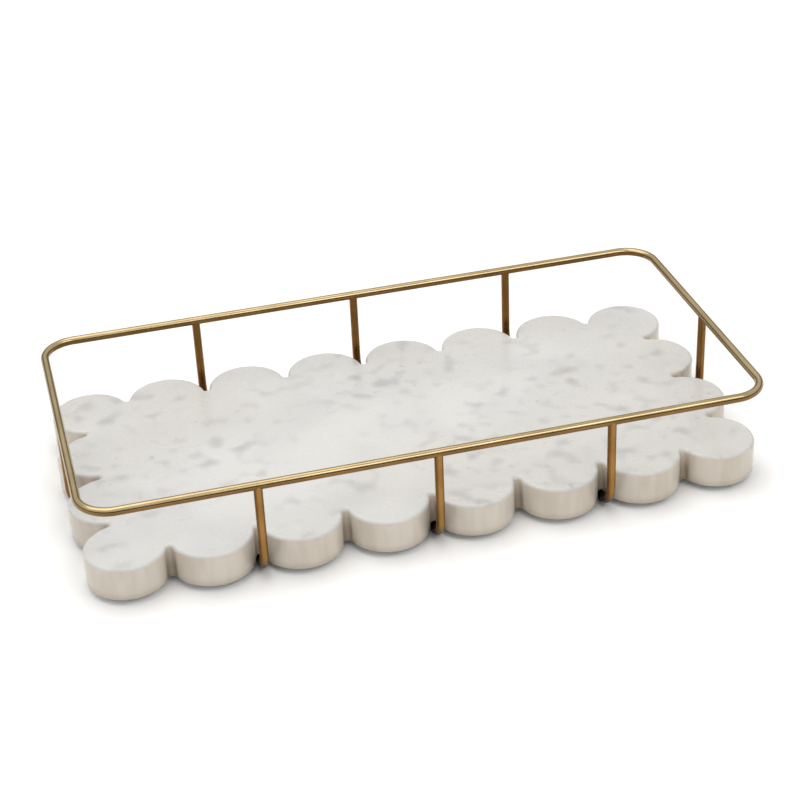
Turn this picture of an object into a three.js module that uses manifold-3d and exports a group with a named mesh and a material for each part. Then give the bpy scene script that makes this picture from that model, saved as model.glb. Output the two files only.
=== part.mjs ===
// Dresser vanity tray: a scalloped marble slab with a brass gallery rail on eight hooked posts.
// Millimetres. +X along the tray, +Y to the back, +Z up. The origin is on the surface that the tray
// stands on, under the middle of the slab.

import * as THREE from 'three';
import { mergeVertices } from 'three/addons/utils/BufferGeometryUtils.js';
import Module from 'manifold-3d';

const wasm = await Module();
wasm.setup();

// ---------- Driving dimensions ----------

const LOBE_PITCH = 48; // from lobe to lobe along the edge
const LOBE_RADIUS = 22.5;
const LOBES_PER_SIDE = 8; // corner lobes included
const LOBES_PER_END = 4;
const SIDE_LOBE_Y = 72.5; // centres of the lobes along the long sides
const END_LOBE_X = 167.5; // centres of the lobes along the ends
const CORNER_RADIUS = 22; // corner lobes are a little smaller and stand a little further in
const CORNER_INSET = 2;
const NOTCH_RADIUS = 2.8; // hollow round in each notch between two lobes

const PAD_HEIGHT = 4;
const SLAB_THICKNESS = 19;
const TOP_EDGE_RADIUS = 2;
const BOTTOM_EDGE_CHAMFER = 0.6;

const ROD_DIAMETER = 4.8;
const RAIL_HALF_LENGTH = 186.5; // to the centre line of the rod
const RAIL_HALF_WIDTH = 92.5;
const RAIL_HEIGHT = 60; // centre line of the rail above the surface
const RAIL_CORNER_RADIUS = 18;

const POST_SPREAD = 2; // the outer posts stand this many lobe pitches from the middle one
const HOOK_BEND_RADIUS = 16; // to the centre line of the rod
const HOOK_DROP = 1; // centre line of the leg below the slab's underside, so that it is part let in
const HOOK_REACH = 34; // from the rail's centre line in to the upturned tip of the leg
const TIP_BEND_RADIUS = 4;
const TIP_RISE = 6.5; // end of the tip above the slab's underside

const GROOVE_CLEARANCE = 1; // between the leg and the groove over it
const POCKET_RADIUS = 7; // round pocket for each tip
const POCKET_DEPTH = 8;

const PAD_RADIUS = 6;
const PAD_EDGE = 0.3;
const FACE_GAP = 0.3; // between faces that touch on the real tray
const CUT_MARGIN = 1; // how far a cutter runs past the face that it opens

const SLAB_BOTTOM = PAD_HEIGHT;
const SLAB_TOP = SLAB_BOTTOM + SLAB_THICKNESS;
const ROD_RADIUS = ROD_DIAMETER / 2;
const LEG_HEIGHT = SLAB_BOTTOM - HOOK_DROP;

// ---------- Fineness of round shapes ----------

const LOBE_STEP = THREE.MathUtils.degToRad(15);
const NOTCH_STEP = THREE.MathUtils.degToRad(30);
const EDGE_STEPS = 3;
const RAIL_CORNER_STEPS = 8;
const RAIL_SIDES = 12;
const POST_SIDES = 10;
const BEND_STEPS = 8;
const TIP_BEND_STEPS = 4;
const GROOVE_STEPS = 8;
const POCKET_STEPS = 24;
const PAD_STEPS = 20;

// ---------- Materials ----------

const marble = new THREE.MeshStandardMaterial({ color: 0xdedbd8, roughness: 0.35, metalness: 0 });
const brass = new THREE.MeshStandardMaterial({ color: 0xb08d4f, roughness: 0.28, metalness: 1 });
const epoxy = new THREE.MeshStandardMaterial({ color: 0xcfc7b4, roughness: 0.45, metalness: 0 });
const rubber = new THREE.MeshStandardMaterial({ color: 0xd5d3cd, roughness: 0.8, metalness: 0 });

// ---------- Geometry helpers ----------

// Triangles that fill a flat ring. A convex ring is filled by a fan from its first point, and any other
// ring is triangulated on its x and y.
function lidTriangles(ring, convex) {
  if (!convex) {
    return THREE.ShapeUtils.triangulateShape(ring.map(({ x, y }) => new THREE.Vector2(x, y)), []);
  }
  const triangles = [];
  for (let i = 1; i < ring.length - 1; i += 1) {
    triangles.push([0, i, i + 1]);
  }
  return triangles;
}

// A closed body through rings of points that all have the same count, from the first ring to the last.
// The rings turn anticlockwise seen from the side that the next ring is on. A loop joins its last ring
// to its first; otherwise flat lids close the two ends.
function skin(rings, { loop = false, convex = true } = {}) {
  const count = rings[0].length;
  const positions = rings.flat().flatMap((point) => point.toArray());
  const index = [];
  const spans = loop ? rings.length : rings.length - 1;
  for (let row = 0; row < spans; row += 1) {
    const low = row * count;
    const high = ((row + 1) % rings.length) * count;
    for (let side = 0; side < count; side += 1) {
      const next = (side + 1) % count;
      index.push(low + side, low + next, high + next);
      index.push(low + side, high + next, high + side);
    }
  }
  if (!loop) {
    const last = (rings.length - 1) * count;
    for (const [a, b, c] of lidTriangles(rings[0], convex)) {
      index.push(a, c, b);
      index.push(last + a, last + b, last + c);
    }
  }
  const geometry = new THREE.BufferGeometry();
  geometry.setAttribute('position', new THREE.Float32BufferAttribute(positions, 3));
  geometry.setIndex(index);
  return geometry;
}

// Round sections of a rod along a path. Each stop of the path has a centre and the two directions
// that span its section.
function rodRings(stops, radius, sides) {
  return stops.map(({ centre, across, up }) => {
    const ring = [];
    for (let side = 0; side < sides; side += 1) {
      const angle = (2 * Math.PI * (side + 0.5)) / sides;
      ring.push(centre.clone()
        .addScaledVector(across, radius * Math.cos(angle))
        .addScaledVector(up, radius * Math.sin(angle)));
    }
    return ring;
  });
}

function toSolid(geometry) {
  const bare = geometry.clone();
  bare.deleteAttribute('normal');
  bare.deleteAttribute('uv');
  const merged = mergeVertices(bare, 1e-4);
  return new wasm.Manifold(new wasm.Mesh({
    numProp: 3,
    vertProperties: new Float32Array(merged.attributes.position.array),
    triVerts: new Uint32Array(merged.index.array),
  }));
}

function fromSolid(solid) {
  const { vertProperties, triVerts } = solid.getMesh();
  const geometry = new THREE.BufferGeometry();
  geometry.setAttribute('position', new THREE.Float32BufferAttribute(vertProperties, 3));
  geometry.setIndex(Array.from(triVerts));
  return geometry;
}

// ---------- Scalloped outline of the slab ----------

// Lobes in anticlockwise order from the front left corner, each a centre and a radius.
function edgeLobes() {
  const cornerX = END_LOBE_X - CORNER_INSET;
  const cornerY = SIDE_LOBE_Y - CORNER_INSET;
  const lobes = [];
  // One side of the slab: its first corner lobe, then the lobes between its two corners.
  const addSide = (corner, count, along, place) => {
    lobes.push({ x: corner[0], y: corner[1], radius: CORNER_RADIUS });
    for (let step = 1; step < count - 1; step += 1) {
      const offset = (step - (count - 1) / 2) * LOBE_PITCH * along;
      lobes.push({ ...place(offset), radius: LOBE_RADIUS });
    }
  };
  addSide([-cornerX, -cornerY], LOBES_PER_SIDE, 1, (offset) => ({ x: offset, y: -SIDE_LOBE_Y }));
  addSide([cornerX, -cornerY], LOBES_PER_END, 1, (offset) => ({ x: END_LOBE_X, y: offset }));
  addSide([cornerX, cornerY], LOBES_PER_SIDE, -1, (offset) => ({ x: offset, y: SIDE_LOBE_Y }));
  addSide([-cornerX, cornerY], LOBES_PER_END, -1, (offset) => ({ x: -END_LOBE_X, y: offset }));
  return lobes;
}

// Centre of the hollow round that touches two neighbouring lobes from outside the slab.
function notchCentre(lobe, next) {
  const span = Math.hypot(next.x - lobe.x, next.y - lobe.y);
  const ahead = { x: (next.x - lobe.x) / span, y: (next.y - lobe.y) / span };
  const toLobe = lobe.radius + NOTCH_RADIUS;
  const toNext = next.radius + NOTCH_RADIUS;
  const along = (span ** 2 + toLobe ** 2 - toNext ** 2) / (2 * span);
  const outward = Math.sqrt(toLobe ** 2 - along ** 2);
  return {
    x: lobe.x + ahead.x * along + ahead.y * outward,
    y: lobe.y + ahead.y * along - ahead.x * outward,
  };
}

function angleTo(from, to) {
  return Math.atan2(to.y - from.y, to.x - from.x);
}

// Arcs of the outline in anticlockwise order: a convex arc for each lobe and a hollow one for the
// notch after it. A convex arc turns left, so its sweep is positive, and a hollow one is negative.
function edgeArcs() {
  const lobes = edgeLobes();
  const notches = lobes.map((lobe, i) => notchCentre(lobe, lobes[(i + 1) % lobes.length]));
  const arcs = [];
  lobes.forEach((lobe, i) => {
    const before = notches[(i + lobes.length - 1) % lobes.length];
    const after = notches[i];
    const next = lobes[(i + 1) % lobes.length];
    const lobeStart = angleTo(lobe, before);
    const lobeSweep = THREE.MathUtils.euclideanModulo(angleTo(lobe, after) - lobeStart, 2 * Math.PI);
    arcs.push({ centre: lobe, radius: lobe.radius, start: lobeStart, sweep: lobeSweep, step: LOBE_STEP });
    const notchStart = angleTo(after, lobe);
    const turn = THREE.MathUtils.euclideanModulo(notchStart - angleTo(after, next), 2 * Math.PI);
    arcs.push({ centre: after, radius: NOTCH_RADIUS, start: notchStart, sweep: -turn, step: NOTCH_STEP });
  });
  return arcs;
}

// Points of the outline, drawn in by inset all the way round, at one height.
function outlineRing(arcs, inset, height) {
  const ring = [];
  for (const { centre, radius, start, sweep, step } of arcs) {
    const steps = Math.ceil(Math.abs(sweep) / step);
    const size = radius - Math.sign(sweep) * inset;
    for (let i = 0; i < steps; i += 1) {
      const angle = start + (sweep * i) / steps;
      ring.push(new THREE.Vector3(
        centre.x + size * Math.cos(angle),
        centre.y + size * Math.sin(angle),
        height,
      ));
    }
  }
  return ring;
}

// ---------- Posts: one for each hook, in the frame of its own side ----------

// A post's site: base is the point of the tray's middle line that the post stands square to, outward
// points from there to the post, and railDistance is how far out the rail runs.
function postSites() {
  const sites = [];
  const columns = [['left', -POST_SPREAD], ['middle', 0], ['right', POST_SPREAD]];
  for (const [side, sign] of [['front', -1], ['back', 1]]) {
    for (const [column, pitches] of columns) {
      sites.push({
        name: `${side}_${column}`,
        base: new THREE.Vector3(pitches * LOBE_PITCH, 0, 0),
        outward: new THREE.Vector3(0, sign, 0),
        railDistance: RAIL_HALF_WIDTH,
      });
    }
  }
  for (const [side, sign] of [['left', -1], ['right', 1]]) {
    sites.push({
      name: `${side}_end`,
      base: new THREE.Vector3(0, 0, 0),
      outward: new THREE.Vector3(sign, 0, 0),
      railDistance: RAIL_HALF_LENGTH,
    });
  }
  return sites;
}

function sitePoint(site, distance, height) {
  return site.base.clone().addScaledVector(site.outward, distance).setZ(height);
}

function sideways(site) {
  return new THREE.Vector3(0, 0, 1).cross(site.outward);
}

function tipDistance(site) {
  return site.railDistance - HOOK_REACH;
}

// A stop where the rod runs outward and rises by tilt, from -90 degrees, straight down, to 90, straight up.
function hookStop(site, distance, height, tilt) {
  return {
    centre: sitePoint(site, distance, height),
    across: sideways(site),
    up: new THREE.Vector3(0, 0, Math.cos(tilt)).addScaledVector(site.outward, -Math.sin(tilt)),
  };
}

// Stops of a quarter bend whose lowest point is at the leg's height.
function bendStops(site, centreDistance, radius, startTilt, steps) {
  const stops = [];
  for (let i = 0; i <= steps; i += 1) {
    const tilt = startTilt + ((Math.PI / 2) * i) / steps;
    const distance = centreDistance + radius * Math.sin(tilt);
    stops.push(hookStop(site, distance, LEG_HEIGHT + radius * (1 - Math.cos(tilt)), tilt));
  }
  return stops;
}

// Upturned tip of the leg, from its end down and round to the leg.
function tipStops(site, tipTop) {
  return [
    hookStop(site, tipDistance(site), tipTop, -Math.PI / 2),
    ...bendStops(site, tipDistance(site) + TIP_BEND_RADIUS, TIP_BEND_RADIUS, -Math.PI / 2, TIP_BEND_STEPS),
  ];
}

// The leg's bend up to the post, and the post up to the underside of the rail, where it is cut level.
function uprightStops(site) {
  return [
    ...bendStops(site, site.railDistance - HOOK_BEND_RADIUS, HOOK_BEND_RADIUS, 0, BEND_STEPS),
    hookStop(site, site.railDistance, RAIL_HEIGHT - ROD_RADIUS - FACE_GAP, Math.PI / 2),
  ];
}

// ---------- Sub-parts ----------

const sites = postSites();
const arcs = edgeArcs();

// Round-topped cutter for the groove over a leg, from its tip out past the slab's edge.
function grooveCutter(site) {
  const radius = ROD_RADIUS + GROOVE_CLEARANCE;
  const profile = [[radius, -CUT_MARGIN]];
  for (let i = 0; i <= GROOVE_STEPS; i += 1) {
    const angle = (Math.PI * i) / GROOVE_STEPS;
    profile.push([radius * Math.cos(angle), radius * Math.sin(angle)]);
  }
  profile.push([-radius, -CUT_MARGIN]);
  const rings = [tipDistance(site), site.railDistance].map((distance) => profile.map(([side, rise]) => (
    sitePoint(site, distance, LEG_HEIGHT + rise).addScaledVector(sideways(site), side)
  )));
  return skin(rings);
}

// Upright cylinder on the axis of a hook's pocket.
function pocketPlug(site, radius, bottom, top) {
  const centre = sitePoint(site, tipDistance(site), (bottom + top) / 2);
  const geometry = new THREE.CylinderGeometry(radius, radius, top - bottom, POCKET_STEPS);
  return geometry.rotateX(Math.PI / 2).translate(centre.x, centre.y, centre.z);
}

function slabBody() {
  const rings = [
    outlineRing(arcs, BOTTOM_EDGE_CHAMFER, SLAB_BOTTOM),
    outlineRing(arcs, 0, SLAB_BOTTOM + BOTTOM_EDGE_CHAMFER),
  ];
  for (let i = 0; i <= EDGE_STEPS; i += 1) {
    const angle = (Math.PI / 2) * (i / EDGE_STEPS);
    rings.push(outlineRing(
      arcs,
      TOP_EDGE_RADIUS * (1 - Math.cos(angle)),
      SLAB_TOP - TOP_EDGE_RADIUS * (1 - Math.sin(angle)),
    ));
  }
  return skin(rings, { convex: false });
}

// The slab, with a shallow round groove and a round pocket in its underside for each hook.
function marbleSlab() {
  const below = SLAB_BOTTOM - CUT_MARGIN;
  let solid = toSolid(slabBody());
  for (const site of sites) {
    const pocket = pocketPlug(site, POCKET_RADIUS, below, SLAB_BOTTOM + POCKET_DEPTH);
    solid = solid.subtract(toSolid(grooveCutter(site))).subtract(toSolid(pocket));
  }
  return fromSolid(solid);
}

// One closed rod: a rectangle with round corners.
function topRail() {
  const cornerX = RAIL_HALF_LENGTH - RAIL_CORNER_RADIUS;
  const cornerY = RAIL_HALF_WIDTH - RAIL_CORNER_RADIUS;
  const stops = [];
  const corners = [[1, -1, -90], [1, 1, 0], [-1, 1, 90], [-1, -1, 180]];
  for (const [signX, signY, startDegrees] of corners) {
    for (let i = 0; i <= RAIL_CORNER_STEPS; i += 1) {
      const angle = THREE.MathUtils.degToRad(startDegrees + (90 * i) / RAIL_CORNER_STEPS);
      const outward = new THREE.Vector3(Math.cos(angle), Math.sin(angle), 0);
      const corner = new THREE.Vector3(signX * cornerX, signY * cornerY, RAIL_HEIGHT);
      stops.push({
        centre: corner.addScaledVector(outward, RAIL_CORNER_RADIUS),
        across: outward,
        up: new THREE.Vector3(0, 0, -1),
      });
    }
  }
  return skin(rodRings(stops, ROD_RADIUS, RAIL_SIDES), { loop: true });
}

// One bent rod, from its tip in the slab to the rail.
function hookedPost(site) {
  const stops = [...tipStops(site, SLAB_BOTTOM + TIP_RISE), ...uprightStops(site)];
  return skin(rodRings(stops, ROD_RADIUS, POST_SIDES));
}

// Filler that locks a tip in its pocket, flush with the underside.
function epoxyAnchor(site) {
  const bottom = SLAB_BOTTOM + FACE_GAP;
  const top = SLAB_BOTTOM + POCKET_DEPTH - FACE_GAP;
  const plug = pocketPlug(site, POCKET_RADIUS - FACE_GAP, bottom, top);
  const stops = tipStops(site, SLAB_BOTTOM + TIP_RISE + FACE_GAP);
  stops.push(hookStop(site, tipDistance(site) + POCKET_RADIUS, LEG_HEIGHT, 0));
  const tip = skin(rodRings(stops, ROD_RADIUS + FACE_GAP, POST_SIDES));
  return fromSolid(toSolid(plug).subtract(toSolid(tip)));
}

// Round pad with eased edges, from the surface up to the slab.
function padBody() {
  const top = PAD_HEIGHT - FACE_GAP;
  return new THREE.LatheGeometry([
    new THREE.Vector2(0, 0),
    new THREE.Vector2(PAD_RADIUS - PAD_EDGE, 0),
    new THREE.Vector2(PAD_RADIUS, PAD_EDGE),
    new THREE.Vector2(PAD_RADIUS, top),
    new THREE.Vector2(0, top),
  ], PAD_STEPS).rotateX(Math.PI / 2);
}

// ---------- Assembly ----------

const group = new THREE.Group();

function addPart(name, geometry, material) {
  const mesh = new THREE.Mesh(geometry, material);
  mesh.name = name;
  group.add(mesh);
  return mesh;
}

addPart('marble_slab', marbleSlab(), marble);
addPart('top_rail', topRail(), brass);
for (const site of sites) {
  addPart(`${site.name}_post`, hookedPost(site), brass);
  addPart(`${site.name}_epoxy_anchor`, epoxyAnchor(site), epoxy);
}

const padGeometry = padBody();
for (const [row, signY] of [['front', -1], ['back', 1]]) {
  for (const [column, signX] of [['left', -1], ['right', 1]]) {
    const pad = addPart(`${row}_${column}_pad`, padGeometry, rubber);
    pad.position.set(signX * (END_LOBE_X - CORNER_INSET), signY * (SIDE_LOBE_Y - CORNER_INSET), 0);
  }
}

export default group;
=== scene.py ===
"""Dresser vanity tray: a scalloped marble slab with a brass gallery rail on eight hooked posts.

Metres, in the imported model's frame: +X along the tray, +Y to the back, +Z up, with the origin on the
surface that the tray stands on.
"""

import math

import bmesh
import bpy
from mathutils import Matrix, Quaternion, Vector, noise


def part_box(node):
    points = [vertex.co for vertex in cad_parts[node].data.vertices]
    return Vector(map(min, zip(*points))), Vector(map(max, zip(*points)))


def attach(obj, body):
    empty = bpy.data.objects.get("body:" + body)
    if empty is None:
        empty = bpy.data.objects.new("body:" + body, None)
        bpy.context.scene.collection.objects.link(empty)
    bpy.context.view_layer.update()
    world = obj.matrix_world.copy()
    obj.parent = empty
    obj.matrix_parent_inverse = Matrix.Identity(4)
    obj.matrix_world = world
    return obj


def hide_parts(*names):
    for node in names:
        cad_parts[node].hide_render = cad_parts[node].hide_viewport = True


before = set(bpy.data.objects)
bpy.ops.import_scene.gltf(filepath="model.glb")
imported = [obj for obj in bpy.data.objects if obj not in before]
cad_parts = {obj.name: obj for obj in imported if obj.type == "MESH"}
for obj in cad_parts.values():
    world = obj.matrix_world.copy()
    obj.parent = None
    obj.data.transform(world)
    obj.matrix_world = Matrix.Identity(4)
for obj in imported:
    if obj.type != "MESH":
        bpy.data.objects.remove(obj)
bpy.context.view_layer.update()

MM = 0.001
ROOT = "root"
UP = Vector((0, 0, 1))

# ---------- Sizes that the frame's boxes don't give ----------

LOBE_PITCH = 48 * MM
LOBE_RADIUS = 22.5 * MM
LOBES_PER_SIDE = 8
LOBES_PER_END = 4
CORNER_RADIUS = 22 * MM
CORNER_INSET = 2 * MM
NOTCH_RADIUS = 2.5 * MM
NOTCH_TOP_RADIUS = 1.7 * MM  # the cutter tapers, so that a notch is tighter and deeper at the top
TOP_EDGE_RADIUS = 2 * MM
BOTTOM_EDGE_RADIUS = 0.6 * MM
EDGE_WAVER = 0.07 * MM  # how far the hand-finished edge strays
WAVER_SCALE = 140  # its noise cells per metre
LOBE_STEP = math.radians(2.5)
NOTCH_STEP = math.radians(7)

ROD_RADIUS = 2.4 * MM
ROD_SIDES = 32
RAIL_CORNER_RADIUS = 18 * MM
HOOK_BEND_RADIUS = 16 * MM
HOOK_DROP = 1 * MM  # centre line of a leg below the slab's underside
TIP_BEND_RADIUS = 4 * MM
TIP_RISE = 6.5 * MM
BRAZE_SIZE = 0.55 * MM  # braze fillet between a post and the rail

GROOVE_RADIUS = 3.4 * MM
POCKET_RADIUS = 7 * MM
POCKET_DEPTH = 8 * MM

PAD_RADIUS = 6 * MM

# Each post's place and the way that it faces, out from the slab.
SITES = {
    "front_left": (0, -1),
    "front_middle": (0, -1),
    "front_right": (0, -1),
    "back_left": (0, 1),
    "back_middle": (0, 1),
    "back_right": (0, 1),
    "left_end": (-1, 0),
    "right_end": (1, 0),
}
PADS = ("front_left", "front_right", "back_left", "back_right")

slab_low, slab_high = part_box("marble_slab")
rail_low, rail_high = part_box("top_rail")
RAIL_HEIGHT = (rail_low.z + rail_high.z) / 2
LEG_HEIGHT = slab_low.z - HOOK_DROP


# ---------- Mesh helpers ----------


def piece(name, mesh, material, node):
    """A piece of the tray, in the place of one CAD node."""
    mesh.materials.append(material)
    made = bpy.data.objects.new(name, mesh)
    bpy.context.scene.collection.objects.link(made)
    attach(made, ROOT)
    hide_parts(node)
    return made


def ring_skin(name, rings, loop=False):
    """A closed mesh through rings of points with the same count. Flat lids close it unless it is a loop."""
    count = len(rings[0])
    mesh = bpy.data.meshes.new(name)
    spans = len(rings) if loop else len(rings) - 1
    faces = []
    for row in range(spans):
        low = row * count
        high = (row + 1) % len(rings) * count
        for side in range(count):
            turn = (side + 1) % count
            faces.append((low + side, low + turn, high + turn, high + side))
    if not loop:
        last = (len(rings) - 1) * count
        faces.append(tuple(reversed(range(count))))
        faces.append(tuple(range(last, last + count)))
    mesh.from_pydata([point for ring in rings for point in ring], [], faces)
    mesh.validate()
    return mesh


def smooth(mesh, degrees=32):
    """Smooth shading, apart from sharp edges and the large level faces, which stay flat."""
    large = 15 * MM**2
    level = 0.9999
    mesh.shade_smooth()
    mesh.set_sharp_from_angle(angle=math.radians(degrees))
    for polygon in mesh.polygons:
        if abs(polygon.normal.z) > level and polygon.area > large:
            polygon.use_smooth = False


def lathe(name, profile, steps):
    """A closed turned mesh round the Z axis. The profile's two ends, on the axis, stand for flat lids."""
    rings = []
    for radius, height in profile[1:-1]:
        turns = [2 * math.pi * i / steps for i in range(steps)]
        rings.append([Vector((radius * math.cos(t), radius * math.sin(t), height)) for t in turns])
    return ring_skin(name, rings)


def smoothstep(value, low, high):
    """0 below low, 1 above high, and an eased rise between them."""
    t = min(1.0, max(0.0, (value - low) / (high - low)))
    return t * t * (3 - 2 * t)


# ---------- Materials ----------


class Shader:
    """A node material on one Principled shader, with short calls for the nodes that feed it."""

    def __init__(self, name, **constants):
        self.material = bpy.data.materials.new(name)
        self.material.use_nodes = True
        self.tree = self.material.node_tree
        self.principled = self.tree.nodes["Principled BSDF"]
        for socket, value in constants.items():
            self.principled.inputs[socket.replace("_", " ")].default_value = value
        self.place = self.node("ShaderNodeTexCoord").outputs["Object"]

    def node(self, kind, **settings):
        """A new node of the material with these settings."""
        made = self.tree.nodes.new(kind)
        for key, value in settings.items():
            setattr(made, key, value)
        return made

    def link(self, source, socket):
        """Joins an output to the socket, or writes a constant in it."""
        if isinstance(source, bpy.types.NodeSocket):
            self.tree.links.new(source, socket)
        else:
            socket.default_value = source

    def attribute(self, name):
        return self.node("ShaderNodeAttribute", attribute_name=name)

    def math(self, operation, a, b=0.0):
        made = self.node("ShaderNodeMath", operation=operation)
        self.link(a, made.inputs[0])
        self.link(b, made.inputs[1])
        return made.outputs[0]

    def stretch(self, source, scale):
        made = self.node("ShaderNodeVectorMath", operation="MULTIPLY")
        self.link(source, made.inputs[0])
        made.inputs[1].default_value = scale
        return made.outputs[0]

    def noise(self, scale, detail=3.0, roughness=0.55, distortion=0.0, place=None):
        made = self.node("ShaderNodeTexNoise")
        self.link(place or self.place, made.inputs["Vector"])
        made.inputs["Scale"].default_value = scale
        made.inputs["Detail"].default_value = detail
        made.inputs["Roughness"].default_value = roughness
        made.inputs["Distortion"].default_value = distortion
        return made.outputs["Fac"]

    def cells(self, scale):
        made = self.node("ShaderNodeTexVoronoi")
        self.link(self.place, made.inputs["Vector"])
        made.inputs["Scale"].default_value = scale
        return made.outputs["Distance"]

    def fade(self, value, low, high, start=0.0, end=1.0):
        """Start where the value is below low, end where it is above high, and eased between them."""
        made = self.node("ShaderNodeMapRange", interpolation_type="SMOOTHSTEP")
        self.link(value, made.inputs["Value"])
        made.inputs["From Min"].default_value = low
        made.inputs["From Max"].default_value = high
        made.inputs["To Min"].default_value = start
        made.inputs["To Max"].default_value = end
        return made.outputs["Result"]

    def mix(self, factor, a, b):
        made = self.node("ShaderNodeMix", data_type="RGBA")
        self.link(factor, made.inputs["Factor"])
        for source, socket in ((a, made.inputs[6]), (b, made.inputs[7])):
            self.link((*source, 1.0) if isinstance(source, tuple) else source, socket)
        return made.outputs[2]

    def up_facing(self):
        """The height component of the surface's own direction: 1 on top, 0 on a side, -1 below."""
        split = self.node("ShaderNodeSeparateXYZ")
        self.link(self.node("ShaderNodeNewGeometry").outputs["Normal"], split.inputs[0])
        return split.outputs["Z"]

    def height(self):
        """Height above the surface that the tray stands on."""
        split = self.node("ShaderNodeSeparateXYZ")
        self.link(self.place, split.inputs[0])
        return split.outputs["Z"]

    def bump(self, height, distance, before=None):
        made = self.node("ShaderNodeBump")
        made.inputs["Distance"].default_value = distance
        made.inputs["Strength"].default_value = 1.0
        self.link(height, made.inputs["Height"])
        if before:
            self.link(before, made.inputs["Normal"])
        return made.outputs["Normal"]

    def surface(self, color=None, roughness=None, normal=None):
        for source, socket in ((color, "Base Color"), (roughness, "Roughness"), (normal, "Normal")):
            if source is not None:
                self.link(source, self.principled.inputs[socket])
        return self.material


def marble_material():
    """Polished white marble: soft grey clouds and blurred mauve-grey smudges, with painted shade on the
    warmer, darker sides, near the floor and in the notch hollows.
    """
    white = (0.655, 0.65, 0.632)
    grey = (0.59, 0.588, 0.574)
    cream = (0.62, 0.6, 0.548)
    mauve = (0.385, 0.37, 0.375)
    brown = (0.33, 0.28, 0.28)
    crystal = (0.8, 0.8, 0.79)
    side_shade_pale = (0.69, 0.625, 0.53)
    side_shade_dark = (0.6, 0.53, 0.435)
    painted_foot_shade = (0.36, 0.29, 0.215)
    painted_notch_shade = (0.225, 0.165, 0.105)
    foot_height = 5 * MM
    polish_relief = 0.0025 * MM
    shader = Shader("polished_marble", Subsurface_Weight=0.1, Subsurface_Scale=3 * MM)
    shader.principled.inputs["Subsurface Radius"].default_value = (1.0, 0.85, 0.7)

    clouds = shader.fade(shader.noise(15, detail=2, roughness=0.5, distortion=0.4), 0.36, 0.66)
    color = shader.mix(clouds, white, grey)
    warm = shader.fade(shader.noise(8, detail=1), 0.42, 0.62, end=0.5)
    color = shader.mix(warm, color, cream)
    patches = shader.fade(shader.noise(22, detail=2, roughness=0.5, distortion=0.2), 0.4, 0.6, end=0.6)
    smudges = shader.fade(shader.noise(95, detail=0.6, roughness=0.3, distortion=0.1), 0.48, 0.84)
    color = shader.mix(shader.math("MULTIPLY", smudges, patches), color, mauve)
    flecks = shader.fade(shader.noise(170, detail=1, roughness=0.4, distortion=0.1), 0.62, 0.84)
    fleck_patches = shader.fade(shader.noise(17, detail=2), 0.48, 0.66, end=0.42)
    color = shader.mix(shader.math("MULTIPLY", flecks, fleck_patches), color, brown)
    grain = shader.fade(shader.noise(1400, detail=2, roughness=0.6), 0.3, 0.75, end=0.04)
    color = shader.mix(grain, color, crystal)

    # Painted shade: the side walls take a warmer, darker colour than the top, as if lit less from above.
    facing = shader.math("ABSOLUTE", shader.up_facing())
    sides = shader.fade(facing, 0.1, 0.75, start=1.0, end=0.0)
    upright = shader.stretch(shader.place, (120, 120, 22))
    bands = shader.fade(shader.noise(1.0, detail=2, roughness=0.5, place=upright), 0.3, 0.7)
    side_shade_color = shader.mix(bands, side_shade_pale, side_shade_dark)
    color = shader.mix(shader.math("MULTIPLY", sides, 0.85), color, side_shade_color)
    # Painted shade near the floor: the side walls darken towards the underside.
    foot = shader.fade(shader.height(), slab_low.z, slab_low.z + foot_height, start=0.42, end=0.0)
    color = shader.mix(shader.math("MULTIPLY", foot, sides), color, painted_foot_shade)
    # Painted shade in the notch hollows, weighted by the notch attribute.
    notch = shader.math("MULTIPLY", shader.attribute("notch").outputs["Fac"], 0.7)
    color = shader.mix(notch, color, painted_notch_shade)

    roughness = shader.fade(shader.noise(90, detail=3), 0.3, 0.7, start=0.2, end=0.3)
    roughness = shader.math("SUBTRACT", roughness, shader.math("MULTIPLY", sides, 0.08))
    normal = shader.bump(shader.noise(180, detail=2, roughness=0.5), polish_relief)
    return shader.surface(color, roughness, normal)


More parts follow.
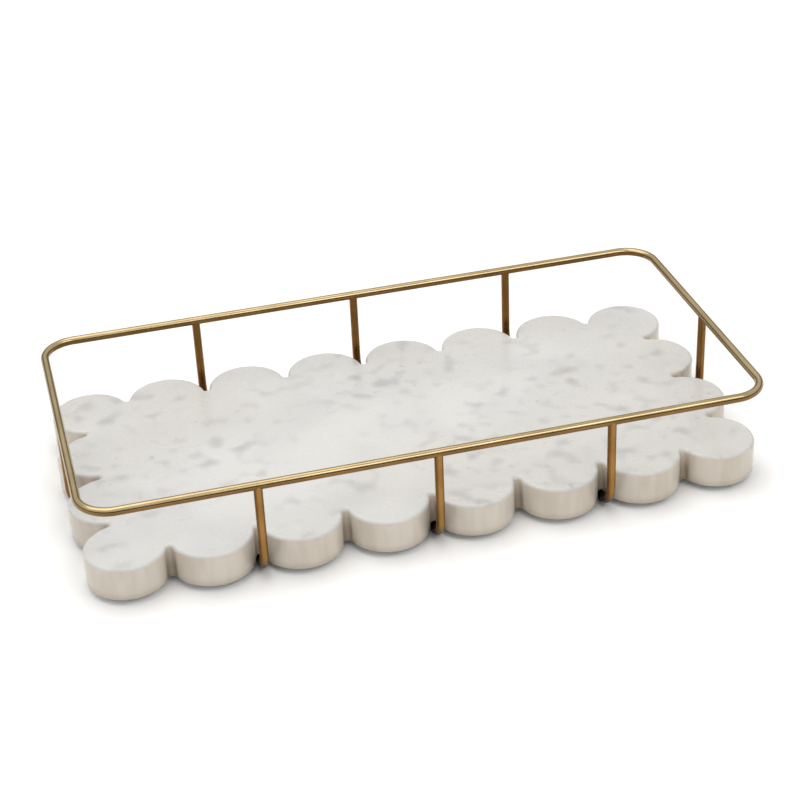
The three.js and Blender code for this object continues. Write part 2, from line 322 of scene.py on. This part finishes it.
def brass_material():
    """Satin brass drawn along the rod, with painted shade: darker posts, a dark lower half on the rail, dark
    sides round a painted highlight stripe on each post, and near-black hooks.
    """
    khaki_pale = (0.5, 0.392, 0.215)
    khaki_dark = (0.41, 0.31, 0.16)
    post_shade_pale = (0.37, 0.2, 0.06)
    post_shade_dark = (0.27, 0.135, 0.035)
    away_shade_pale = (0.22, 0.108, 0.03)
    away_shade_dark = (0.15, 0.07, 0.018)
    line_shade = (0.33, 0.21, 0.09)
    hook_shade_color = (0.025, 0.014, 0.008)
    braze_and_joint_shade = (0.16, 0.085, 0.028)
    hook_shade_low = slab_low.z + 2 * MM
    hook_shade_high = slab_low.z + 10 * MM
    line_relief = 0.0008 * MM
    dent_relief = 0.003 * MM
    shader = Shader("satin_brass", Metallic=1.0)
    along = shader.attribute("rod_place").outputs["Vector"]
    drawn = shader.stretch(along, (2200, 2200, 40))
    lines = shader.noise(1.0, detail=3, roughness=0.6, place=drawn)
    long_clouds = shader.stretch(along, (160, 160, 45))
    clouds = shader.fade(shader.noise(1.0, detail=3, roughness=0.55, place=long_clouds), 0.3, 0.7)

    # Painted shade: the posts take a darker amber copy of the rail's brass, as if they reflected darker
    # surroundings.
    post = shader.attribute("post").outputs["Fac"]
    khaki = shader.mix(clouds, khaki_pale, khaki_dark)
    post_shade_color = shader.mix(clouds, post_shade_pale, post_shade_dark)
    color = shader.mix(post, khaki, post_shade_color)
    # Round the rod, Y is -ROD_RADIUS at the rail's top and on the side that a post turns outward.
    turned = shader.node("ShaderNodeSeparateXYZ")
    shader.link(along, turned.inputs[0])
    # Painted shade on the rail's lower half and on each post's sides, which leaves a painted highlight
    # stripe down a post's outward face.
    rail_underside_shade = shader.fade(turned.outputs["Y"], -0.62 * ROD_RADIUS, -0.05 * ROD_RADIUS, end=0.94)
    post_side_shade = shader.fade(turned.outputs["Y"], -0.99 * ROD_RADIUS, -0.75 * ROD_RADIUS, end=0.94)
    away_shade = shader.math("MAXIMUM", rail_underside_shade, shader.math("MULTIPLY", post_side_shade, post))
    color = shader.mix(away_shade, color, shader.mix(clouds, away_shade_pale, away_shade_dark))
    color = shader.mix(shader.fade(lines, 0.4, 0.75, end=0.25), color, line_shade)
    # Painted shade: the hooks turn near black below the slab, where the slab shades them. The same mask also
    # makes them rougher.
    hooks = shader.fade(shader.height(), hook_shade_low, hook_shade_high, start=1.0, end=0.0)
    hook_shade = shader.math("MULTIPLY", hooks, shader.fade(clouds, 0.0, 1.0, start=0.85))
    color = shader.mix(hook_shade, color, hook_shade_color)
    # The braze fillet: a darker metal of its own, and painted shade where a post meets the rail.
    braze = shader.attribute("braze").outputs["Fac"]
    color = shader.mix(shader.math("MULTIPLY", braze, 0.75), color, braze_and_joint_shade)

    roughness = shader.fade(lines, 0.25, 0.8, start=0.14, end=0.2)
    roughness = shader.math("ADD", roughness, shader.math("MULTIPLY", hook_shade, 0.18))
    roughness = shader.math("ADD", roughness, shader.math("MULTIPLY", braze, 0.12))
    normal = shader.bump(lines, line_relief)
    normal = shader.bump(shader.noise(300, detail=1), dent_relief, normal)
    return shader.surface(color, roughness, normal)


def epoxy_material():
    """Stone-coloured filler with mineral grain and a few open bubbles."""
    filler_pale = (0.6, 0.545, 0.43)
    filler_dark = (0.47, 0.415, 0.32)
    bubble_shade = (0.3, 0.255, 0.19)
    relief = 0.06 * MM
    shader = Shader("stone_filler", Specular_IOR_Level=0.5, Coat_Weight=0.15, Coat_Roughness=0.3)
    clouds = shader.fade(shader.noise(260, detail=4), 0.35, 0.7)
    color = shader.mix(clouds, filler_pale, filler_dark)
    bubbles = shader.fade(shader.cells(900), 0.05, 0.2, start=1.0, end=0.0)
    color = shader.mix(shader.math("MULTIPLY", bubbles, 0.5), color, bubble_shade)
    roughness = shader.fade(shader.noise(500, detail=3), 0.3, 0.7, start=0.34, end=0.55)
    normal = shader.bump(bubbles, -relief)
    normal = shader.bump(shader.noise(650, detail=3), relief, normal)
    return shader.surface(color, roughness, normal)


def pad_material():
    """Milky soft bumper rubber with dust in its surface."""
    milk = (0.66, 0.645, 0.6)
    dust_shade = (0.5, 0.475, 0.43)
    relief = 0.02 * MM
    shader = Shader("bumper_rubber", Subsurface_Weight=0.35, Subsurface_Scale=3 * MM, Specular_IOR_Level=0.4)
    shader.principled.inputs["Subsurface Radius"].default_value = (1.0, 0.95, 0.85)
    dust = shader.fade(shader.noise(700, detail=4, roughness=0.7), 0.45, 0.75)
    color = shader.mix(dust, milk, dust_shade)
    roughness = shader.fade(shader.noise(300, detail=2), 0.3, 0.7, start=0.42, end=0.62)
    normal = shader.bump(shader.noise(1300, detail=3), relief)
    return shader.surface(color, roughness, normal)


# ---------- Marble slab ----------


def edge_lobes():
    """Lobes in anticlockwise order from the front left corner, each a centre and a radius."""
    side_y = slab_high.y - LOBE_RADIUS
    end_x = slab_high.x - LOBE_RADIUS
    corners = [(-1, -1), (1, -1), (1, 1), (-1, 1)]
    directions = [(1, 0), (0, 1), (-1, 0), (0, -1)]
    counts = [LOBES_PER_SIDE, LOBES_PER_END] * 2
    lobes = []
    for (sign_x, sign_y), direction, count in zip(corners, directions, counts):
        corner = Vector((sign_x * (end_x - CORNER_INSET), sign_y * (side_y - CORNER_INSET)))
        lobes.append((corner, CORNER_RADIUS))
        along = Vector(direction)
        outward = Vector((along.y * end_x, -along.x * side_y))
        for step in range(1, count - 1):
            offset = (step - (count - 1) / 2) * LOBE_PITCH
            lobes.append((along * offset + outward, LOBE_RADIUS))
    return lobes


def notch_centre(lobe, following, notch_radius):
    """Centre of the hollow round that touches two neighbouring lobes from outside the slab."""
    (a, radius_a), (b, radius_b) = lobe, following
    span = (b - a).length
    ahead = (b - a) / span
    to_a = radius_a + notch_radius
    to_b = radius_b + notch_radius
    along = (span**2 + to_a**2 - to_b**2) / (2 * span)
    outward = math.sqrt(to_a**2 - along**2)
    return a + ahead * along + Vector((ahead.y, -ahead.x)) * outward


def angle_to(start, end):
    """Direction from one point to another, as an angle from +X."""
    return math.atan2(end.y - start.y, end.x - start.x)


def edge_arcs(notch_radius):
    """Arcs of the outline in anticlockwise order, each a centre, a radius, a start angle and a sweep."""
    lobes = edge_lobes()
    count = len(lobes)
    notches = [notch_centre(lobes[i], lobes[(i + 1) % count], notch_radius) for i in range(count)]
    arcs = []
    for i, (centre, radius) in enumerate(lobes):
        start = angle_to(centre, notches[i - 1])
        sweep = (angle_to(centre, notches[i]) - start) % (2 * math.pi)
        arcs.append((centre, radius, start, sweep))
        start = angle_to(notches[i], centre)
        turn = (start - angle_to(notches[i], lobes[(i + 1) % count][0])) % (2 * math.pi)
        arcs.append((notches[i], notch_radius, start, -turn))
    return arcs


# Steps in each arc. They are the same for every ring, so that the rings can be joined.
STEP_COUNTS = [
    round(abs(sweep) / (LOBE_STEP if sweep > 0 else NOTCH_STEP))
    for _, _, _, sweep in edge_arcs(NOTCH_RADIUS)
]


def outline_ring(inset, height, waver):
    """Points of the outline, drawn in by inset, with the small stray of a hand-finished edge."""
    rise = (height - slab_low.z) / (slab_high.z - slab_low.z)
    notch_radius = NOTCH_RADIUS + (NOTCH_TOP_RADIUS - NOTCH_RADIUS) * rise
    ring = []
    for (centre, radius, start, sweep), steps in zip(edge_arcs(notch_radius), STEP_COUNTS):
        hollow = math.copysign(1, sweep)
        for i in range(steps):
            angle = start + sweep * i / steps
            spoke = Vector((math.cos(angle), math.sin(angle)))
            edge = centre + spoke * radius
            stray = waver * noise.noise(Vector((edge.x, edge.y, height)) * WAVER_SCALE)
            point = centre + spoke * (radius - hollow * (inset + stray))
            ring.append(Vector((point.x, point.y, height)))
    return ring


def slab_rings():
    """Rings from the underside, round both edges, to the flat top."""
    top_steps = 7
    bottom_steps = 4
    wall_steps = 6
    flat_margin = 0.5 * MM
    rings = [outline_ring(BOTTOM_EDGE_RADIUS + flat_margin, slab_low.z, 0)]
    for i in range(bottom_steps + 1):
        angle = math.pi / 2 * i / bottom_steps
        inset = BOTTOM_EDGE_RADIUS * (1 - math.sin(angle))
        height = slab_low.z + BOTTOM_EDGE_RADIUS * (1 - math.cos(angle))
        rings.append(outline_ring(inset, height, EDGE_WAVER * math.sin(angle)))
    wall_low = slab_low.z + BOTTOM_EDGE_RADIUS
    wall_high = slab_high.z - TOP_EDGE_RADIUS
    for i in range(1, wall_steps):
        rings.append(outline_ring(0, wall_low + (wall_high - wall_low) * i / wall_steps, EDGE_WAVER))
    for i in range(top_steps + 1):
        angle = math.pi / 2 * i / top_steps
        inset = TOP_EDGE_RADIUS * (1 - math.cos(angle))
        height = slab_high.z - TOP_EDGE_RADIUS * (1 - math.sin(angle))
        rings.append(outline_ring(inset, height, EDGE_WAVER))
    rings.append(outline_ring(TOP_EDGE_RADIUS + flat_margin, slab_high.z, EDGE_WAVER))
    return rings


def groove_cutter(site):
    """Round-topped channel over a leg, from its tip out past the slab's edge."""
    steps = 24
    angles = [math.pi * i / steps for i in range(steps + 1)]
    profile = [(GROOVE_RADIUS, -GROOVE_RADIUS)]
    profile += [(GROOVE_RADIUS * math.cos(angle), GROOVE_RADIUS * math.sin(angle)) for angle in angles]
    profile.append((-GROOVE_RADIUS, -GROOVE_RADIUS))
    rings = []
    for distance in (site.tip, site.rail):
        base = site.point(distance, LEG_HEIGHT)
        rings.append([base + site.sideways * side + UP * rise for side, rise in profile])
    return ring_skin("groove_cutter", rings)


def pocket_cutter(site):
    """Blind round hole for a tip, with the rounded bottom corner that its drill leaves."""
    steps = 64
    corner = 0.8 * MM
    start = -1 * MM
    top = slab_low.z + POCKET_DEPTH
    profile = [(0, start), (POCKET_RADIUS, start), (POCKET_RADIUS, top - corner)]
    for degrees in (30, 60, 90):
        angle = math.radians(degrees)
        inset = corner * (1 - math.cos(angle))
        profile.append((POCKET_RADIUS - inset, top - corner + corner * math.sin(angle)))
    profile.append((0, top))
    mesh = lathe("pocket_cutter", profile, steps)
    mesh.transform(Matrix.Translation(site.point(site.tip, 0)))
    return mesh


def cut(target, cutters):
    """Cuts meshes that don't touch each other out of the target object's mesh."""
    joined = bmesh.new()
    for mesh in cutters:
        joined.from_mesh(mesh)
        bpy.data.meshes.remove(mesh)
    mesh = bpy.data.meshes.new("cutters")
    joined.to_mesh(mesh)
    joined.free()
    tool = bpy.data.objects.new("cutters", mesh)
    bpy.context.scene.collection.objects.link(tool)
    modifier = target.modifiers.new("cut", "BOOLEAN")
    modifier.operation = "DIFFERENCE"
    modifier.solver = "EXACT"
    modifier.object = tool
    graph = bpy.context.evaluated_depsgraph_get()
    result = bpy.data.meshes.new_from_object(target.evaluated_get(graph))
    target.modifiers.clear()
    target.data = result
    bpy.data.objects.remove(tool)


def mark_notches(mesh):
    """Writes the weight of the painted shade in the notch hollows: how deep in a notch each point of the
    side wall lies. It is 0 outside, and most low down.
    """
    reach = 5 * MM
    high_part = 0.4
    foot = (slab_low.z + 0.02 * MM, slab_low.z + 0.5 * MM)
    middle = (slab_low.z + 6 * MM, slab_high.z - 4 * MM)
    rim = (slab_high.z - 3.5 * MM, slab_high.z - 0.8 * MM)
    hollows = [centre for centre, _, _, sweep in edge_arcs(NOTCH_TOP_RADIUS) if sweep < 0]
    marks = mesh.attributes.new("notch", "FLOAT", "POINT")
    for vertex in mesh.vertices:
        height = vertex.co.z
        wall = smoothstep(height, *foot)
        wall *= 1 - (1 - high_part) * smoothstep(height, *middle)
        wall *= 1 - smoothstep(height, *rim)
        near = min((vertex.co.xy - centre).length for centre in hollows) if wall > 0 else reach
        marks.data[vertex.index].value = wall * (1 - smoothstep(near, NOTCH_RADIUS, reach))


def build_slab(sites, material):
    """The slab, with a groove milled for each leg and a pocket drilled for each tip."""
    made = piece("slab_stone", ring_skin("slab_stone", slab_rings()), material, "marble_slab")
    cut(made, [groove_cutter(site) for site in sites])
    cut(made, [pocket_cutter(site) for site in sites])
    mark_notches(made.data)
    smooth(made.data)
    return made


# ---------- Brass rods ----------


class Site:
    """Where one hooked post stands: on a line square to the rail, from the tip in the slab outward."""

    def __init__(self, name, outward):
        low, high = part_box(f"{name}_post")
        anchor_low, anchor_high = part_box(f"{name}_epoxy_anchor")
        self.name = name
        self.outward = Vector((*outward, 0))
        self.sideways = UP.cross(self.outward)
        middle = (low + high) / 2
        self.base = self.sideways * middle.dot(self.sideways)
        self.rail = max(low.dot(self.outward), high.dot(self.outward)) - ROD_RADIUS
        self.tip = ((anchor_low + anchor_high) / 2).dot(self.outward)

    def point(self, distance, height):
        return self.base + self.outward * distance + UP * height

    def stop(self, distance, height, tilt):
        """Centre of a section and the two directions that span it, where the rod rises by tilt."""
        across = UP * math.cos(tilt) - self.outward * math.sin(tilt)
        return self.point(distance, height), self.sideways, across


def rod_mesh(name, sections, along, loop=False):
    """A rod through sections, with its place along and round the rod kept for the brushed finish.

    along holds each section's distance along the rod, and one more at the end of a loop.
    """
    mesh = ring_skin(name, sections, loop)
    sides = len(sections[0])
    place = mesh.attributes.new("rod_place", "FLOAT_VECTOR", "CORNER")
    rows = len(sections)
    for polygon in mesh.polygons:
        indices = [mesh.loops[i].vertex_index for i in polygon.loop_indices]
        wraps = loop and {i // sides for i in indices} == {0, rows - 1}
        for corner, index in zip(polygon.loop_indices, indices):
            row = index // sides
            distance = along[rows] if wraps and row == 0 else along[row]
            angle = 2 * math.pi * (index % sides) / sides
            spot = (ROD_RADIUS * math.cos(angle), ROD_RADIUS * math.sin(angle), distance)
            place.data[corner].vector = spot
    return mesh


def round_section(centre, across, up, radius):
    """Points of a round cut through a rod."""
    angles = [2 * math.pi * i / ROD_SIDES for i in range(ROD_SIDES)]
    return [centre + across * (radius * math.cos(a)) + up * (radius * math.sin(a)) for a in angles]


def distances(centres):
    """Distance of each centre from the first one, along the line through them."""
    total = [0.0]
    for previous, centre in zip(centres, centres[1:]):
        total.append(total[-1] + (centre - previous).length)
    return total


def build_rail(sites, material):
    """The closed rail: a rectangle of rod with round corners, begun in the middle of the back."""
    half_length = next(site.rail for site in sites if site.name == "right_end")
    half_width = next(site.rail for site in sites if site.name == "back_middle")
    corner_steps = 28
    corner_x = half_length - RAIL_CORNER_RADIUS
    corner_y = half_width - RAIL_CORNER_RADIUS
    stops = [(Vector((0, half_width, RAIL_HEIGHT)), Vector((0, 1, 0)))]
    for sign_x, sign_y, start in ((-1, 1, 90), (-1, -1, 180), (1, -1, 270), (1, 1, 0)):
        for i in range(corner_steps + 1):
            angle = math.radians(start + 90 * i / corner_steps)
            outward = Vector((math.cos(angle), math.sin(angle), 0))
            corner = Vector((sign_x * corner_x, sign_y * corner_y, RAIL_HEIGHT))
            stops.append((corner + outward * RAIL_CORNER_RADIUS, outward))
    centres = [centre for centre, _ in stops]
    sections = [round_section(centre, outward, -UP, ROD_RADIUS) for centre, outward in stops]
    mesh = rod_mesh("rail_rod", sections, distances(centres + centres[:1]), loop=True)
    mesh.attributes.new("post", "FLOAT", "POINT")
    mesh.attributes.new("braze", "FLOAT", "POINT")
    smooth(mesh)
    return piece("rail_rod", mesh, material, "top_rail")


def quarter_bend(site, centre, radius, start, steps):
    """Stops round a quarter turn that begins at the start tilt and lies at leg height where it is level."""
    stops = []
    for i in range(steps + 1):
        tilt = start + math.pi / 2 * i / steps
        height = LEG_HEIGHT + radius * (1 - math.cos(tilt))
        stops.append(site.stop(centre + radius * math.sin(tilt), height, tilt))
    return stops


def head_sections(site):
    """Sections of a post's coped head: up the saddle where it meets the rail, and out round the braze."""
    braze_steps = 6
    least_braze = 0.08  # of its full size, where the rail curves up from the post
    plug_radius = 0.7 * ROD_RADIUS
    centre = site.point(site.rail, 0)
    sections = [[] for _ in range(braze_steps + 2)]
    for i in range(ROD_SIDES):
        angle = 2 * math.pi * i / ROD_SIDES
        spoke = site.sideways * math.cos(angle) - site.outward * math.sin(angle)
        size = BRAZE_SIZE * (least_braze + (1 - least_braze) * math.cos(angle) ** 2)
        reach = ROD_RADIUS + size
        saddle = RAIL_HEIGHT - ROD_RADIUS * abs(math.cos(angle))
        rise = math.sqrt(max(0.0, ROD_RADIUS**2 - (reach * math.sin(angle)) ** 2))
        foot = (ROD_RADIUS, saddle - size)
        crook = (ROD_RADIUS, saddle)
        end = (reach, RAIL_HEIGHT - rise)
        for step in range(braze_steps + 1):
            t = step / braze_steps
            radius, height = (
                (1 - t) ** 2 * a + 2 * t * (1 - t) * b + t**2 * c for a, b, c in zip(foot, crook, end)
            )
            sections[step].append(centre + spoke * radius + UP * height)
        sections[-1].append(centre + spoke * plug_radius + UP * RAIL_HEIGHT)
    return sections


def build_post(site, material):
    """One bent rod: the tip up in its pocket, the leg under the slab, and the post up to the rail."""
    end_ease = 0.5 * MM
    tip_steps = 10
    hook_steps = 24
    straight_top = RAIL_HEIGHT - 2.5 * ROD_RADIUS
    tip_top = slab_low.z + TIP_RISE
    tip = site.stop(site.tip, tip_top, -math.pi / 2)
    below_tip = site.stop(site.tip, tip_top - end_ease, -math.pi / 2)
    stops = [below_tip]
    stops += quarter_bend(site, site.tip + TIP_BEND_RADIUS, TIP_BEND_RADIUS, -math.pi / 2, tip_steps)
    stops += quarter_bend(site, site.rail - HOOK_BEND_RADIUS, HOOK_BEND_RADIUS, 0, hook_steps)
    stops.append(site.stop(site.rail, straight_top, math.pi / 2))
    sections = [round_section(*tip, ROD_RADIUS - end_ease)]
    sections += [round_section(*stop, ROD_RADIUS) for stop in stops]
    rod_count = len(sections)
    sections += head_sections(site)
    centres = [sum(section, Vector()) / ROD_SIDES for section in sections]
    mesh = rod_mesh(f"{site.name}_hook", sections, distances(centres))
    count = len(mesh.vertices)
    mesh.attributes.new("post", "FLOAT", "POINT").data.foreach_set("value", [1.0] * count)
    brazed = [float(index // ROD_SIDES > rod_count) for index in range(count)]
    mesh.attributes.new("braze", "FLOAT", "POINT").data.foreach_set("value", brazed)
    smooth(mesh, degrees=40)
    return piece(f"{site.name}_hook", mesh, material, f"{site.name}_post")


# ---------- Epoxy anchors and pads ----------


def build_filler(site, material):
    """Filler in a pocket: a plug round the tip, trowelled about flush and bulging beside the leg."""
    radius = POCKET_RADIUS - 0.04 * MM
    steps = 72
    circles = 16
    wetting = 1.1 * MM  # how far beside the leg it bulges
    climb = 0.9 * MM  # how far down the leg it bulges
    hollow = 0.22 * MM
    trowel_marks = 0.14 * MM
    mark_scale = 420
    centre = site.point(site.tip, 0)
    rings = []
    for circle in range(circles, 0, -1):
        ring = []
        for i in range(steps):
            angle = 2 * math.pi * i / steps
            spoke = site.outward * math.cos(angle) + site.sideways * math.sin(angle)
            offset = spoke * (radius * circle / circles)
            outward = offset.dot(site.outward)
            aside = abs(offset.dot(site.sideways)) if outward > 0 else offset.length
            leg = 1 - smoothstep(aside, ROD_RADIUS * 0.9, ROD_RADIUS + wetting)
            dish = hollow * (1 - (circle / circles) ** 6)
            ripple = trowel_marks * noise.noise((centre + offset) * mark_scale)
            height = slab_low.z + dish + ripple - climb * leg
            ring.append(centre + offset + UP * height)
        rings.append(ring)
    wall = [centre + (point - centre).xy.to_3d() for point in rings[0]]
    top = slab_low.z + POCKET_DEPTH - 0.1 * MM
    rings.insert(0, [point + UP * top for point in wall])
    rings.reverse()
    mesh = ring_skin(f"{site.name}_filler", rings)
    smooth(mesh, degrees=45)
    return piece(f"{site.name}_filler", mesh, material, f"{site.name}_epoxy_anchor")


def build_pad(name, material):
    """Moulded bumper: an adhesive disc, a drafted wall, a rolled edge and a dished foot."""
    low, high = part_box(f"{name}_pad")
    centre = (low + high) / 2
    steps = 72
    roll = 1.1 * MM
    roll_steps = 8
    waist = PAD_RADIUS - 0.35 * MM
    dish = 0.25 * MM
    disc_radius = PAD_RADIUS - 0.5 * MM
    near_axis = 0.01 * MM
    profile = [(0, dish), (near_axis, dish), (2.2 * MM, 0.22 * MM), (3.4 * MM, 0.08 * MM), (4.3 * MM, 0)]
    for i in range(roll_steps + 1):
        angle = math.pi / 2 * i / roll_steps
        profile.append((waist - roll * (1 - math.sin(angle)), roll * (1 - math.cos(angle))))
    profile += [
        (PAD_RADIUS - 0.08 * MM, high.z - 0.25 * MM),
        (PAD_RADIUS, high.z - 0.12 * MM),
        (PAD_RADIUS - 0.08 * MM, high.z),
        (disc_radius, high.z + 0.04 * MM),
        (disc_radius, slab_low.z),
        (near_axis, slab_low.z),
        (0, slab_low.z),
    ]
    mesh = lathe(f"{name}_bumper", profile, steps)
    mesh.transform(Matrix.Translation((centre.x, centre.y, 0)))
    smooth(mesh, degrees=50)
    return piece(f"{name}_bumper", mesh, material, f"{name}_pad")


# ---------- Stage, light and camera ----------


def build_floor():
    """A plain pale surface under the tray."""
    reach = 6.0
    pale = (0.95, 0.95, 0.948)
    paler = (0.965, 0.965, 0.963)
    mesh = bpy.data.meshes.new("floor")
    corners = [(-reach, -reach, 0), (reach, -reach, 0), (reach, reach, 0), (-reach, reach, 0)]
    mesh.from_pydata(corners, [], [(0, 1, 2, 3)])
    shader = Shader("pale_floor", Specular_IOR_Level=0.1)
    tone = shader.mix(shader.noise(3, detail=2), pale, paler)
    mesh.materials.append(shader.surface(tone, roughness=0.85))
    floor = bpy.data.objects.new("floor", mesh)
    bpy.context.scene.collection.objects.link(floor)


def add_softbox(name, place, size, power, color):
    """A rectangular lamp that faces the middle of the tray."""
    light = bpy.data.lights.new(name, "AREA")
    light.shape = "RECTANGLE"
    light.size, light.size_y = size
    light.energy = power
    light.color = color
    made = bpy.data.objects.new(name, light)
    made.location = place
    made.rotation_mode = "QUATERNION"
    made.rotation_quaternion = (-Vector(place)).to_track_quat("-Z", "Y")
    bpy.context.scene.collection.objects.link(made)


def dome_fade(nodes, low, high, start, end):
    """An eased rise from start to end while a direction's component goes from low to high."""
    made = nodes.new("ShaderNodeMapRange")
    made.interpolation_type = "SMOOTHSTEP"
    made.inputs["From Min"].default_value = low
    made.inputs["From Max"].default_value = high
    made.inputs["To Min"].default_value = start
    made.inputs["To Max"].default_value = end
    return made


def build_lights():
    """Softboxes overhead and above the front right, and a pale dome whose rim is dark at the front.

    The dark rim is what draws a thin dark line along polished rods. What the camera sees past the floor
    is a pale backdrop.
    """
    pale = (1.0, 0.99, 0.975)
    warm = (1.0, 0.985, 0.96)
    add_softbox("overhead", place=(-0.35, 0.3, 1.5), size=(1.6, 1.2), power=9, color=pale)
    add_softbox("front_right", place=(0.45, -0.85, 1.15), size=(0.9, 0.4), power=3.2, color=warm)
    world = bpy.data.worlds.new("dome")
    world.use_nodes = True
    nodes = world.node_tree.nodes
    links = world.node_tree.links
    split = nodes.new("ShaderNodeSeparateXYZ")
    rim = dome_fade(nodes, -0.75, -0.15, start=0.01, end=0.26)
    rise = dome_fade(nodes, 0.22, 0.54, start=0.0, end=0.95)
    dome = nodes["Background"]
    dome.inputs["Color"].default_value = (1.0, 0.995, 0.985, 1.0)
    backdrop = nodes.new("ShaderNodeBackground")
    backdrop.inputs["Color"].default_value = (0.93, 0.93, 0.925, 1.0)
    seen = nodes.new("ShaderNodeMixShader")
    links.new(nodes.new("ShaderNodeTexCoord").outputs["Generated"], split.inputs[0])
    links.new(split.outputs["Y"], rim.inputs["Value"])
    links.new(split.outputs["Z"], rise.inputs["Value"])
    links.new(rim.outputs["Result"], rise.inputs["To Min"])
    links.new(rise.outputs["Result"], dome.inputs["Strength"])
    links.new(nodes.new("ShaderNodeLightPath").outputs["Is Camera Ray"], seen.inputs[0])
    links.new(dome.outputs[0], seen.inputs[1])
    links.new(backdrop.outputs[0], seen.inputs[2])
    links.new(seen.outputs[0], nodes["World Output"].inputs["Surface"])
    bpy.context.scene.world = world
    bpy.context.scene.view_settings.view_transform = "Standard"


CAMERA_AZIMUTH = math.radians(-13.76)
CAMERA_ELEVATION = math.radians(31.01)
CAMERA_DISTANCE = 1.139
CAMERA_TARGET = Vector((0.0182, 0.0604, 0.001))
CAMERA_ROLL = math.radians(-2.72)
CAMERA_LENS = 84.63  # millimetres, as is the sensor's width
CAMERA_SENSOR = 36
CAMERA_CLIP_START = 0.05


def build_camera():
    """A camera in front of the tray, a little to its left, that looks down on it."""
    data = bpy.data.cameras.new("camera")
    data.lens = CAMERA_LENS
    data.sensor_width = CAMERA_SENSOR
    data.clip_start = CAMERA_CLIP_START
    camera = bpy.data.objects.new("camera", data)
    level = math.cos(CAMERA_ELEVATION)
    back = Vector((
        math.sin(CAMERA_AZIMUTH) * level,
        -math.cos(CAMERA_AZIMUTH) * level,
        math.sin(CAMERA_ELEVATION),
    ))
    camera.location = CAMERA_TARGET + back * CAMERA_DISTANCE
    camera.rotation_mode = "QUATERNION"
    camera.rotation_quaternion = (-back).to_track_quat("-Z", "Y") @ Quaternion(UP, CAMERA_ROLL)
    bpy.context.scene.collection.objects.link(camera)
    bpy.context.scene.camera = camera


# ---------- Assembly ----------

build_camera()
build_lights()
build_floor()

sites = [Site(name, outward) for name, outward in SITES.items()]
marble = marble_material()
brass = brass_material()
epoxy = epoxy_material()
rubber = pad_material()

build_slab(sites, marble)
build_rail(sites, brass)
for site in sites:
    build_post(site, brass)
    build_filler(site, epoxy)
for name in PADS:
    build_pad(name, rubber)
